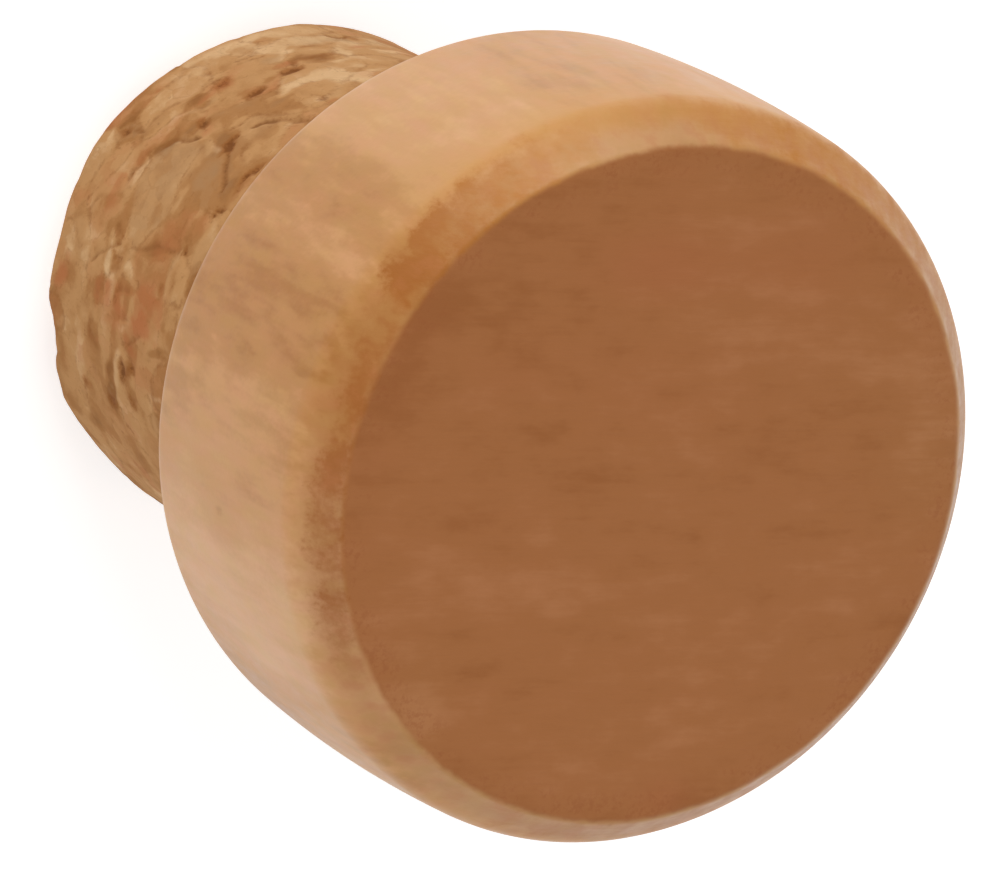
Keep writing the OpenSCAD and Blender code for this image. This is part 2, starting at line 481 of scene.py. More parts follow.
# Soft patches on that side: azimuth, height, half width, half height, change of tone, change of
# redness, and tilt
CHOSEN_PATCHES = [
    (-68, 4.2, 1.3, 0.9, 0.16, -0.7), (-59, 8.9, 0.8, 0.6, 0.14, -0.4),
    (-56.5, 6.2, 0.5, 0.45, 0.14), (-53, 4.6, 0.9, 0.5, -0.05, -0.3),
    (-43.5, 9.2, 0.5, 0.4, 0.12, -0.1), (-36.4, 8.4, 0.45, 0.45, 0.16),
    (-36, 4.3, 1.3, 0.5, 0, -0.4), (-28, 6.1, 0.5, 0.4, 0.12), (-27, 10.2, 0.8, 0.4, 0.08),
    (-23.4, 5.1, 0.5, 0.3, -0.12), (-21, 7.3, 0.6, 0.5, -0.06, 0.2), (-20, 2.9, 1, 0.4, -0.08),
    (-9.5, 4.9, 0.7, 0.4, -0.08), (9, 8.7, 1.2, 0.55, 0.1, -0.3), (14.5, 5.4, 0.6, 0.7, 0.08, -0.3),
    (27, 7.6, 0.6, 1.8, 0, 0.25), (28, 2.7, 0.9, 0.7, 0, 0.2), (34.2, 4.4, 0.6, 0.35, -0.12),
    (38, 4, 1.2, 0.45, 0, 0.25), (23, 11.3, 1.2, 0.6, 0, 0.2),
    (-53, 8.7, 0.35, 0.35, -0.2, -0.2, 20), (-40.5, 11, 0.5, 0.22, 0, 0.6, 10),
    (-34.2, 10.4, 0.28, 0.8, -0.22), (-34, 9.2, 0.45, 0.28, -0.2, -0.3),
    (-36, 8.6, 0.28, 0.45, 0.22), (-50, 7.3, 0.6, 0.4, -0.16, -0.2),
    (-51.2, 6.4, 0.55, 0.45, -0.26, 0.1, 10), (-48, 5.8, 0.35, 0.45, -0.2, -0.1, -30),
    (-37.2, 6.8, 0.35, 0.18, -0.22, -0.2), (-31.5, 6.8, 0.28, 0.22, -0.12, 0.1),
    (-31.5, 6.6, 1.6, 1.3, 0, -0.55), (-19, 5.9, 1.6, 0.55, -0.06, -0.55),
    (-53.5, 9.5, 1.3, 0.45, 0.34, 0, 25), (-43, 10.6, 0.7, 0.3, 0.18, -0.2, 10),
    # The pale patch at (-30.2, 7.6) is painted light that lifts the shade beside the hole there
    (-22.5, 8.8, 0.6, 0.25, 0.22), (-30.2, 7.6, 0.5, 0.25, 0.18), (-54, 2.3, 2.2, 0.8, 0.34),
    (-41, 2.2, 1.4, 0.6, 0.28), (-51, 4.9, 0.6, 0.3, 0.18), (-42, 5, 1.1, 0.6, 0.06, -0.2),
    (-44, 6.9, 0.6, 0.4, -0.14, 0.1, 20), (-33, 7.3, 0.6, 0.55, -0.06, 0.05),
    (-28, 7, 0.55, 1.6, -0.06, -0.1, 5), (-30.4, 5, 0.5, 0.45, -0.14, 0.1, -30),
    (-47.2, 2.9, 0.35, 0.5, -0.24, 0.3), (-56, 6, 0.6, 1.4, 0.08),
    (-12.5, 11.9, 1.2, 0.5, -0.2, -0.2), (-24, 11.3, 0.4, 0.7, -0.06, -0.1, 10),
    (-10, 9.7, 0.8, 0.5, 0, -0.2, 10), (-18, 9, 0.4, 0.5, -0.16, 0.1),
    (-15.4, 8.6, 0.28, 0.35, 0.28), (-2.2, 9.1, 0.5, 0.28, 0.16),
    (-18.8, 7.7, 0.4, 0.36, 0.06, 0.35), (-18.4, 6.4, 0.5, 0.4, -0.34, 0.2),
    (-22.3, 5, 0.6, 0.3, -0.3, -0.1), (-16, 4.6, 0.7, 0.5, 0.14, 0, 10),
    (-6.4, 5, 0.55, 0.35, -0.32, 0.2, -30), (0.5, 5.6, 1.2, 0.3, 0.17),
    (-4.5, 4.9, 1, 0.5, -0.05, 0.1), (3.5, 3.2, 0.7, 0.9, -0.08), (-46, 3.2, 1.2, 0.45, 0.15),
    (-33, 2.9, 0.7, 0.8, 0.14), (-22, 2, 2, 0.32, 0.2), (-12, 2, 0.7, 0.3, 0.12),
    (12, 3.2, 0.6, 1.3, 0.1), (17, 4.3, 0.9, 0.7, 0.12), (29, 4.8, 0.8, 0.9, 0.09),
    (41, 4.2, 1.3, 0.45, 0.12), (13, 6.9, 0.6, 0.35, 0.1), (43, 10.6, 0.8, 0.45, 0.12),
    (21, 11.8, 1.1, 0.5, 0.12), (14, 11.9, 0.8, 0.6, -0.1), (-50, 9.8, 1.4, 0.6, 0.14),
    (-54, 7.8, 0.8, 0.5, -0.1), (-50.5, 5.4, 1.2, 0.55, 0.22, -0.2),
    (-37.5, 5.6, 1.2, 0.9, 0, -0.5), (-22.5, 9.8, 0.6, 0.5, 0.12), (22, 4, 1.1, 0.7, 0.15),
    (36, 3.6, 1.2, 0.8, 0.14), (43, 3.4, 1, 0.7, 0.12), (-60, 3.6, 1.3, 0.9, 0.1, -0.3),
    (-40, 3.4, 1, 0.7, 0.12, -0.3), (9.8, 7.6, 0.5, 0.8, 0.14), (-10.5, 5.4, 0.8, 0.45, -0.1),
    (-20.5, 5.6, 0.8, 0.45, -0.2), (-10, 6.1, 0.6, 0.3, -0.08), (-60, 5.6, 0.8, 0.6, -0.05, -0.2),
    (24, 7.4, 0.6, 0.4, -0.12), (3, 7.2, 0.9, 0.7, 0.07, -0.1), (-40, 5.6, 0.6, 0.5, -0.06),
    (-50, 7.7, 0.9, 0.4, -0.1), (4, 11.4, 1, 0.6, -0.12, -0.2), (10, 5.2, 0.8, 0.4, 0.08),
    (-11, 3, 0.7, 0.8, -0.2, -0.3), (-6.4, 3.1, 0.35, 0.28, -0.14, -0.1),
    (-15.5, 2.1, 0.24, 0.36, -0.1, -0.2), (-14, 2.6, 0.6, 0.4, 0.02),
    (3, 4.7, 0.7, 0.35, -0.12, 0.3, 10), (0.5, 2.8, 0.5, 0.6, 0.1, -0.1),
    (-4, 7.6, 1.2, 0.5, 0.07, -0.1, -60), (5.6, 10.4, 0.4, 0.8, -0.14, 0.2, 10),
    (2.5, 11.6, 0.9, 0.5, -0.12, 0.1), (13, 11.4, 0.9, 0.35, -0.16, 0.1), (0, 7.4, 1.6, 0.8, -0.08),
    (9.3, 9.3, 0.26, 0.9, -0.24, 0, 5), (16.5, 10.7, 0.35, 0.2, -0.24, 0.2),
    (20, 10.5, 0.25, 0.4, -0.12, 0.2), (12.8, 9.6, 0.3, 0.7, 0.03, -0.1, 10),
    (27, 11.2, 0.3, 0.9, 0.16, -0.1, 5), (31, 11, 0.22, 0.6, -0.26, -0.3, 8),
    (22.3, 7.5, 0.5, 0.35, -0.28, 0.2), (22.6, 8.3, 0.7, 0.3, -0.3, 0.1),
    (29.5, 7.2, 0.9, 0.6, -0.2, 0.1), (18.5, 5.2, 0.4, 0.5, 0.14), (19, 6.7, 0.4, 0.3, 0.14),
    (26.2, 9.6, 0.6, 0.8, 0.06, 0.4), (27, 2.4, 0.8, 0.6, 0.02, 0.25), (35.2, 3.1, 0.4, 0.5, 0.24),
    (19.4, 8.1, 0.3, 0.3, -0.18, 0.2), (26.2, 8.1, 0.35, 0.6, -0.16, 0.1, -10),
    (29.3, 7.9, 0.22, 0.5, 0.16, 0, -15), (15.2, 7.8, 0.46, 0.5, 0.24, -0.2),
    (17.2, 5.95, 0.52, 0.34, 0.48, -0.3, 10), (19.2, 6.4, 0.22, 0.4, 0.2, -0.1, 15),
    (13.6, 6.5, 0.16, 0.42, 0.26, -0.1, -30), (12, 5.9, 0.4, 0.24, 0.28, -0.1, 10),
    (11.4, 5.4, 0.4, 0.22, -0.16), (-13.2, 5.75, 0.75, 0.42, -0.4, 0.1, -10),
    (-12, 8.3, 0.8, 0.5, 0.16), (42, 7, 1.1, 0.42, -0.46, 0, -5), (9.2, 6.2, 0.3, 0.35, -0.2),
    (22, 6.5, 0.45, 0.35, 0.06, 0.4), (23.2, 5.7, 0.6, 0.32, -0.16, 0.3),
    (13.6, 3.9, 0.38, 1.2, 0.16), (18.6, 3.2, 0.26, 1, 0.12, 0, 5),
    (23.5, 2.9, 0.4, 0.7, -0.12, 0.1, -20), (31.7, 8.7, 0.38, 0.6, -0.2, 0.4, -20),
    (36.8, 8.8, 0.4, 0.6, -0.24, 0.1), (40.2, 8.5, 0.6, 0.3, -0.16, 0.1),
    (44.6, 8.9, 0.6, 0.26, -0.24, 0, 15), (34.2, 5.6, 0.55, 0.42, -0.22, 0.1),
    (47.5, 6.7, 0.6, 0.4, -0.22, 0.1, -10), (45.5, 6.2, 0.8, 0.3, -0.18),
    (48.5, 7.35, 0.5, 0.2, 0.14), (57, 8.5, 0.6, 0.35, 0.14), (45, 9.4, 0.6, 0.35, -0.12),
    (50, 3.2, 1, 1, 0.16), (47.5, 10.5, 0.5, 0.2, 0.16), (38, 4.5, 1.1, 0.35, 0.12, 0.1, -10),
    (47, 4.4, 0.25, 0.4, -0.22, 0.3, -20), (56.4, 4, 0.45, 0.55, -0.24, -0.3),
    (52, 8, 0.35, 1.4, 0.08, 0.1, -25), (58, 7.2, 0.3, 1.4, -0.08, 0, -25),
    (43, 3, 0.6, 0.5, -0.06, 0.3),
]

# Holes: azimuth, height, half width, half height, strength, and tilt
CHOSEN_PITS = [
    (-20.5, 9.38, 0.21, 0.16, 0.8, 5), (-17.8, 9.48, 0.25, 0.22, 1.1), (-32.6, 7.35, 0.3, 0.26, 1),
    (-42.6, 6.88, 0.35, 0.2, 1), (-40.9, 6.93, 0.18, 0.14, 0.7, 10),
    (-51.4, 6.33, 0.32, 0.24, 0.3, 10), (-19.6, 6.85, 0.2, 0.3, 1),
    (-30.6, 5.03, 0.24, 0.28, 0.65, -30), (-29.8, 4.53, 0.18, 0.15, 0.5), (-10, 2.9, 0.2, 0.2, 0.8),
    (-16.6, 12.33, 0.21, 0.15, 0.8, 8), (-14.2, 12.08, 0.37, 0.11, 0.8),
    (-10.6, 12.33, 0.4, 0.14, 0.45), (-4.9, 12.13, 0.12, 0.26, 0.9, 5),
    (-3.1, 11.98, 0.13, 0.14, 0.7), (6.7, 11.33, 0.2, 0.16, 0.7, -20),
    (38.4, 8.18, 0.33, 0.17, 0.9, -8), (36.9, 8.98, 0.18, 0.3, 0.7, 10),
    (44.5, 8.83, 0.22, 0.22, 0.5, 20), (47.4, 6.63, 0.22, 0.26, 0.65, -5),
    (33.6, 5.33, 0.24, 0.18, 0.4), (11.6, 6.43, 0.18, 0.1, 0.5, -25),
    (15.2, 6.83, 0.12, 0.22, 0.6, 10), (16.5, 10.63, 0.2, 0.12, 0.45),
    (-39.7, 10.68, 0.2, 0.16, 0.7, 20), (21.2, 7.38, 0.14, 0.18, 0.45, 10),
    (23.5, 7.23, 0.14, 0.14, 0.5, 10), (47, 4.33, 0.12, 0.2, 0.5, 10), (-14.6, 2.2, 0.08, 0.3, 0.3),
]

# Open cracks: their half width and strength, then points of azimuth and height
CHOSEN_CRACKS = [
    (0.16, 0.85, [(-33.6, 12.3), (-32.2, 11.6), (-30.6, 10.9)]),
    (0.13, 0.75, [(-30.6, 10.9), (-27.4, 10.1), (-25, 9.5)]),
    (0.14, 0.92, [(-16.6, 9.8), (-13.6, 10.4), (-11.5, 10.9), (-8.4, 11.5)]),
    (0.12, 0.8, [(-16.6, 7.5), (-15, 6.9), (-13.4, 6.2), (-10, 5.8)]),
    (0.13, 0.6, [(-10, 5.8), (-6.6, 5.4), (-3, 4.9), (1, 5.1)]),
    (0.13, 0.62, [(-43.6, 6.8), (-46.5, 5.9), (-49, 5.4)]),
    (0.2, 0.55, [(-25.8, 4.8), (-23, 4.85), (-20.6, 5.1)]),
    (0.11, 0.66, [(6.9, 11.3), (8.4, 10.4), (8.8, 9.2), (10.6, 8.4), (11.4, 7.5)]),
    (0.1, 0.5, [(11.8, 6.6), (14.4, 5.8), (16, 5.2), (18.2, 4.8)]),
    (0.12, 0.4, [(7.8, 5.7), (8.4, 6.3), (10.6, 6.6)]),
    (0.22, 0.45, [(37.2, 8.8), (38, 8.4), (41, 8.4), (46.2, 9)]),
    (0.13, 0.7, [(-10.4, 3.2), (-11.4, 3.8)]), (0.11, 0.4, [(-8.6, 2.2), (-6, 3.1)]),
    (0.12, 0.4, [(-11, 2.9), (-13, 2.7)]), (0.12, 0.62, [(28.2, 9.7), (30.2, 9), (32, 8.5)]),
    (0.13, 0.45, [(21.2, 3.8), (21.4, 2.6), (21.9, 1.9)]),
    (0.11, 0.45, [(-34.6, 8.4), (-35.8, 7.9), (-38.4, 7.35), (-40.4, 7.2)]),
    (0.12, 0.4, [(26.6, 8.6), (26.9, 7.4), (28.3, 6.5)]), (0.12, 0.35, [(19, 8.3), (18.2, 7.4)]),
]

# Torn lips beside a crack or a hole, with a painted highlight: half width and strength, then points
CHOSEN_LIP_HIGHLIGHTS = [
    (0.17, 1.3, [(34.4, 7.88), (38, 7.68), (42, 7.58)]), (0.13, 0.5, [(42, 7.6), (46.4, 7.2)]),
    (0.12, 0.4, [(-22.8, 6), (-21, 5.5), (-19.2, 5.2)]), (0.12, 0.9, [(-16, 9.2), (-15.8, 8.7)]),
    (0.1, 0.7, [(-13.4, 6.5), (-13, 6.4)]), (0.12, 0.4, [(-2.4, 9.2), (-0.6, 9.3)]),
    (0.14, 0.3, [(-4.6, 5.35), (-1, 5.2)]), (0.12, 0.6, [(39.6, 11.5), (40.4, 11), (39.8, 10.5)]),
    (0.12, 0.5, [(-36.2, 8.3), (-38.6, 7.6), (-40.4, 7.45)]),
    (0.09, 0.6, [(12.6, 6.9), (14, 6.3), (15, 6)]), (0.12, 0.4, [(33, 3), (36.2, 2.3)]),
    (0.12, 0.4, [(-37, 4.8), (-34.4, 4.95)]),
]

# How far the rim of the tip stands out or in round the cork: azimuth, millimetres
RIM_WAVES = [
    (-180, 0), (-150, 0.05), (-120, -0.06), (-90, 0.03), (-66, 0.02), (-60, 0.055), (-54, 0.005),
    (-48, -0.04), (-38, -0.05), (-28, 0), (-20, 0.04), (-10, 0.12), (-3, 0.08), (3, -0.01),
    (10, -0.06), (18, -0.12), (25, -0.05), (31, 0.03), (46, 0.055), (50, 0.05), (55, 0.12),
    (60, 0.04), (66, -0.03), (80, -0.03), (100, 0.05), (125, -0.07), (155, 0.03), (180, 0),
]

# The piece that has broken out of the rim of the tip: azimuth, height, half width, half height
CHIP, CHIP_DEPTH = (40.5, 1.35, 1.20, 0.60), 0.36


def filled(rows, columns):
    """The rows of a table, with the zeros that they leave out."""
    return [tuple(row) + (0,) * (columns - len(row)) for row in rows]


def cork_section(radius, reach, top):
    """From the rim of the tip up the chamfer, the side and the end that is glued into the cap."""
    glued_r = radius - GLUED_INSET
    low_turn = TIP_ROUND_R * math.tan(math.radians(22.5))
    low_centre = (radius - TIP_CHAMFER - low_turn, TIP_ROUND_R)
    high_centre = (radius - TIP_ROUND_R, TIP_CHAMFER + low_turn)
    low = arc(low_centre, TIP_ROUND_R, -90, -45, 3)
    high = arc(high_centre, TIP_ROUND_R, -45, 0, 3)
    return joined(low, along(low[-1], high[0], SIDE_STEP), high,
                  along(high[-1], (radius, reach), SIDE_STEP),
                  along((radius, reach), (glued_r, reach), 0.2),
                  along((glued_r, reach), (glued_r, top), 2.5))


def for_pairs(rng, count):
    """A random number for each pair of granules, the same both ways."""
    draw = rng.random((count, count))
    return np.triu(draw) + np.triu(draw, 1).T


class Granules:
    """The pressed granules: their middles, axes, half sizes and looks, in millimetres."""

    def __init__(self, radius, reach):
        rng = np.random.default_rng(CORK_SEED)
        chosen = np.array(filled(CHOSEN_GRANULES, 7), float)
        self.place_chosen(chosen, radius)
        loose = self.scatter(rng, radius, reach)
        count = len(loose)
        size = np.clip(rng.lognormal(math.log(HALF_SIZE), 0.28, count), 0.7, 2.4)
        flat = size[:, None] * rng.uniform([0.8, 0.65, 0.5], [1.3, 1.0, 0.8], (count, 3))
        self.middles = np.concatenate([self.middles, loose])
        turned = np.linalg.qr(rng.normal(size=(count, 3, 3)))[0]
        self.axes = np.concatenate([self.axes, turned])
        self.sizes = np.concatenate([self.sizes, flat])
        tones = np.clip(rng.normal(0.52, 0.11, count), 0.25, 0.82)
        reds = np.clip(rng.normal(0.10, 0.22, count), -0.5, 0.8)
        self.tone = np.concatenate([chosen[:, 4], tones])
        self.red = np.concatenate([chosen[:, 5], reds])
        self.raised = rng.uniform(-0.03, 0.025, len(self.middles))
        draw = for_pairs(rng, len(self.middles))
        self.openness = 0.10 + 0.9 * smooth_step(0.74, 0.98, draw)
        self.openness[:len(chosen), :len(chosen)] = 0.05
        self.joint = 0.25 + 0.75 * for_pairs(rng, len(self.middles))
        for one, other in FUSED:
            self.joint[one, other] = self.joint[other, one] = 0

    def place_chosen(self, chosen, radius):
        azimuth, height, wide, high, _, _, tilt = chosen.T
        azimuth, tilt = np.radians(azimuth), np.radians(tilt)[:, None]
        out = np.stack([np.sin(azimuth), -np.cos(azimuth), 0 * azimuth], 1)
        side = np.stack([np.cos(azimuth), np.sin(azimuth), 0 * azimuth], 1)
        up = np.tile([0, 0, 1.0], (len(chosen), 1))
        c, s = np.cos(tilt), np.sin(tilt)
        self.middles = (radius - DEEP) * out + height[:, None] * up
        self.axes = np.stack([c * side + s * up, -s * side + c * up, out], 2)
        self.sizes = np.stack([wide, high, np.sqrt(wide * high)], 1) * 0.8

    def scatter(self, rng, radius, reach):
        """Middles of the other granules, apart from each other and from the chosen ones."""
        kept = []
        tries = rng.uniform(-1, 1, (PLACES_TRIED, 3)) * [radius + 1, radius + 1, reach / 2 + 1.2]
        tries[:, 2] += reach / 2
        out = np.hypot(tries[:, 0], tries[:, 1])
        tries = tries[(out < radius + 1) & ((out >= radius - CORE) | (tries[:, 2] <= CORE))]
        local = np.einsum("mnk,nkj->mnj", tries[:, None] - self.middles, self.axes)
        near = np.linalg.norm(local / self.sizes, axis=2).min(1)
        for place in tries[near > CHOSEN_ROOM]:
            if not kept or np.linalg.norm(np.array(kept) - place, axis=1).min() > GRANULE_GAP:
                kept.append(place)
        return np.array(kept)

    def nearest(self, points):
        """The three nearest granules of each point, and how deep it lies in each (1 at its shell)."""
        reach = self.axes / self.sizes[:, None]
        form = reach @ reach.transpose(0, 2, 1)
        turned = np.einsum("nij,nj->ni", form, self.middles)
        rest = (turned * self.middles).sum(1)
        weights = np.concatenate([form.reshape(-1, 9), -2 * turned, rest[:, None]], 1).T
        found = []
        for part in np.array_split(points, len(points) // POINTS_AT_ONCE + 1):
            squares = (part[:, :, None] * part[:, None]).reshape(-1, 9)
            depth = np.concatenate([squares, part, np.ones((len(part), 1))], 1) @ weights
            three = np.argpartition(depth, 3, axis=1)[:, :3]
            order = np.argsort(np.take_along_axis(depth, three, 1))
            found.append(np.take_along_axis(three, order, 1))
        three = np.concatenate(found)
        local = np.einsum("mnk,mnkj->mnj", points[:, None] - self.middles[three], reach[three])
        depth = np.linalg.norm(local, axis=2)
        slope = np.einsum("mnj,mnkj->mnk", local, reach[three]) / depth[:, :, None]
        return three, depth, slope


def border_distance(depths, slopes, normals, other):
    """Distance over the surface to the border with the second or third granule."""
    change = slopes[:, other] - slopes[:, 0]
    change = change - (change * normals).sum(1)[:, None] * normals
    steep = np.maximum(np.linalg.norm(change, axis=1), 0.12)
    return (depths[:, other] - depths[:, 0]) / steep


def unrolled(points, radius):
    """Places on the side as arc length and height."""
    return np.stack([np.radians(azimuth_of(points)) * radius, points[:, 2]], 1)


def line_distance(flat, line, radius):
    """Distance from unrolled places to a line of azimuths and heights, and how far along it."""
    line = np.array(line, float) * [math.radians(1) * radius, 1]
    best = np.full(len(flat), 1e3)
    share = np.zeros(len(flat))
    for index, (start, end) in enumerate(zip(line[:-1], line[1:])):
        run = end - start
        t = np.clip(((flat - start) @ run) / (run @ run), 0, 1)
        away = np.linalg.norm(flat - start - t[:, None] * run, axis=1)
        closer = away < best
        best[closer] = away[closer]
        share[closer] = ((index + t) / (len(line) - 1))[closer]
    return best, share


def ellipse_distance(flat, azimuth, height, wide, high, tilt, radius):
    """1 on the ellipse round the given place, less inside it. The places go once round."""
    girth = 2 * np.pi * radius
    x = (flat[:, 0] - math.radians(azimuth) * radius + girth / 2) % girth - girth / 2
    y = flat[:, 1] - height
    c, s = math.cos(math.radians(tilt)), math.sin(math.radians(tilt))
    return np.hypot((c * x + s * y) / wide, (c * y - s * x) / high)


def nearness(away, half):
    """1 in the middle of a line, 0.55 at its half width, 0 at twice that."""
    return np.clip(1.1 - 0.55 * away / half, 0, 1)


def random_patches(reach):
    """Rows like those of CHOSEN_PATCHES, for the rest of the side."""
    rng = np.random.default_rng(CORK_SEED + 2)
    rows = []
    for _ in range(PATCH_COUNT):
        azimuth, height = rng.uniform(-180, 180), rng.uniform(0, reach)
        wide, high = rng.uniform(0.22, 0.75, 2)
        tilt, tone, red = rng.uniform(-40, 40), rng.normal(-0.03, 0.18), rng.normal(0.03, 0.25)
        if abs(azimuth) > SEEN + 4 or height > SEEN_HEIGHT:
            rows.append((azimuth, height, wide, high, tone, red, tilt))
    return rows


class CorkSurface:
    """The granules where the cork's surface cuts them, and the marks on it."""

    def __init__(self, shape, radius, reach):
        self.source = Noise(CORK_SEED + 1)
        self.points, self.radius, self.reach = shape.points, radius, reach
        self.on_side = shape.path > 0
        self.flat = unrolled(self.points, radius) + 0.12 * self.bend(0.5, 31, 47)
        self.granules = Granules(radius, reach)
        warp = self.bend(1.5, 20, 40, 60) * 0.34 + self.bend(0.45, 20, 40, 60) * 0.09
        self.three, self.depths, slopes = self.granules.nearest(self.points + warp)
        self.edge = border_distance(self.depths, slopes, shape.normals, 1)
        self.corner = border_distance(self.depths, slopes, shape.normals, 2)
        self.seam, self.crack, self.hole, self.lip_and_highlight = self.random_marks()
        self.add_cracks_and_pits()
        self.add_lip_highlights()

    def rough(self, shift, cell):
        """Noise over the surface, another one for each shift."""
        return self.source(self.points + shift, cell)

    def bend(self, cell, *shifts):
        return np.stack([self.rough(shift, cell) for shift in shifts], 1)

    def random_marks(self):
        """Seams, cracks, holes and lips with a painted highlight along the granules' borders, from 0
        to 1.
        """
        granules, edge, first, second = self.granules, self.edge, *self.three[:, :2].T
        openness = granules.openness[first, second]
        openness = openness + 0.45 * self.rough(7, 0.9) + 0.25 * self.rough(17, 0.4)
        away = 0.45 + 0.55 * smooth_step(2.0, 0.5, self.corner)
        openness = np.clip(openness * away, 0, 1)
        crack = openness * nearness(edge, 0.07 + 0.15 * openness ** 2)

        seam = granules.joint[first, second] * (0.65 + 0.8 * self.rough(13, 0.9))
        seam = nearness(edge, 0.11) * np.clip(seam, 0, 1)
        luck = (self.three.sum(1) * GOLDEN_SHARE) % 1
        ragged = self.corner + 0.14 * self.rough(23, 0.45) + 0.08 * self.rough(27, 0.22)
        hole = (luck > HOLE_LUCK) * np.clip(1.2 - ragged / 0.26, 0, 1)
        lip_and_highlight = np.clip(2.2 * openness - 1.2, 0, 1) * np.clip(1 - np.abs(edge - 0.22) / 0.14, 0, 1)
        lip_and_highlight = 0.6 * lip_and_highlight * (granules.raised[first] > granules.raised[second])

        azimuth = np.abs(azimuth_of(self.points))
        seen = self.on_side * smooth_step(SEEN + 8, SEEN, azimuth)
        near = self.on_side * smooth_step(SEEN_HOLES + 6, SEEN_HOLES, azimuth)
        return seam, crack * (1 - 0.55 * seen), hole * (1 - 0.9 * near), lip_and_highlight * (1 - 0.7 * seen)

    def add_cracks_and_pits(self):
        for half, strength, line in CHOSEN_CRACKS:
            away, share = line_distance(self.flat, line, self.radius)
            half = half * np.sqrt(np.clip(4 * share * (1 - share) + 0.35, 0, 1))
            varied = strength * (0.92 + 0.7 * self.rough(61, 0.6))
            self.crack = np.maximum(self.crack, self.on_side * varied * nearness(away, half))
        torn = self.flat + (self.bend(0.32, 101, 107) * [0.11, 0.09]
                            + self.bend(0.2, 103, 109) * [0.06, 0.05])
        for *place, strength, tilt in filled(CHOSEN_PITS, 6):
            away = ellipse_distance(torn, *place, tilt, self.radius)
            near = np.clip(1.45 - away * 0.72, 0, 1)
            self.hole = np.maximum(self.hole, self.on_side * strength * near)

    def add_lip_highlights(self):
        """Lips, with their painted highlight, break off where a crack or a hole crosses them."""
        for half, strength, line in CHOSEN_LIP_HIGHLIGHTS:
            away = line_distance(self.flat, line, self.radius)[0]
            near = self.on_side * strength * nearness(away, half)
            near = near * (1 + 0.5 * self.rough(71, 0.6))
            near = near * np.clip(1.5 - 1.6 * self.hole, 0, 1)
            self.lip_and_highlight = np.maximum(self.lip_and_highlight, near * np.clip(1.5 - 1.6 * self.crack, 0, 1))

    def relief(self):
        """How far the surface stands out, in millimetres."""
        groove = np.maximum(CRACK_DEPTH * smooth_step(0.0, 1.0, self.crack),
                            HOLE_DEPTH * smooth_step(0.25, 1.0, self.hole))
        groove = np.maximum(groove, SEAM_DEPTH * smooth_step(0.0, 1.0, self.seam))
        relief = self.granules.raised[self.three[:, 0]] * smooth_step(0.0, 0.5, self.edge) - 0.01
        relief = relief + LIP_HEIGHT * smooth_step(0, 1, self.lip_and_highlight)
        relief = relief + 0.030 * self.rough(3, 4.0) + 0.010 * self.rough(5, 0.5) - groove
        relief = relief + self.on_side * self.rim_relief()
        return relief * smooth_step(self.reach - 0.1, self.reach - 0.5, self.points[:, 2])

    def rim_relief(self):
        """The waves of the tip's rim, and the chip in it."""
        azimuth, out = np.array(RIM_WAVES).T
        waves = np.interp(self.flat[:, 0], np.radians(azimuth) * self.radius, out)
        waves = waves * smooth_step(4.2, 1.8, self.flat[:, 1])
        away = ellipse_distance(self.flat, *CHIP, 0, self.radius)
        return waves - CHIP_DEPTH * (1 - smooth_step(0.35, 1.25, away))

    def tones(self):
        """Tone and redness of every place, blended from granule to granule."""
        share = np.exp(-BLEND * (self.depths - self.depths[:, :1]))
        share = share / share.sum(1)[:, None]
        tone = (share * self.granules.tone[self.three]).sum(1)
        red = (share * self.granules.red[self.three]).sum(1)
        wander = self.flat + 0.25 * self.bend(0.8, 83, 89)
        wander = wander + 0.10 * self.bend(0.3, 91, 97)
        rows = filled(CHOSEN_PATCHES, 7) + random_patches(self.reach)
        for *place, more_tone, more_red, tilt in rows:
            near = np.abs(wander[:, 1] - place[1]) < 2.5 * max(place[2:])
            away = ellipse_distance(wander[near], *place, tilt, self.radius)
            strength = np.exp(-away ** 4)
            tone[near] += more_tone * strength
            red[near] += more_red * strength
        return tone, red

    def streaks(self):
        """Soft streaks across each granule, in its own direction."""
        owner = self.three[:, 0]
        away = self.points - self.granules.middles[owner]
        local = np.einsum("mk,mkj->mj", away, self.granules.axes[owner])
        local = local * [0.4, 1.5, 1.5] + owner[:, None] * 3.7
        streak = self.source(local, 0.6) * 0.6 + self.source(local, 0.28) * 0.4
        return streak * smooth_step(0.0, 0.5, self.edge)


# The marks on the cork and the values that draw them: how much noise frays each, where it starts
# and where it is full, its share at most, and its colour. The dark colours of the cracks and holes
# are partly the cork's own brown and partly painted shade of their shallow hollows
CORK_MARKS = [
    ("seam", 1.2, 0.15, 0.90, 0.43, (146, 92, 46)),
    ("crack", 0.6, 0.05, 0.75, 0.60, (142, 90, 46)),
    ("crack", 1.3, 0.55, 1.00, 0.44, (108, 62, 24)),
    ("hole", 0.9, 0.00, 0.60, 0.60, (146, 87, 38)),
    ("hole", 1.3, 0.45, 0.95, 0.60, (100, 50, 12)),
]


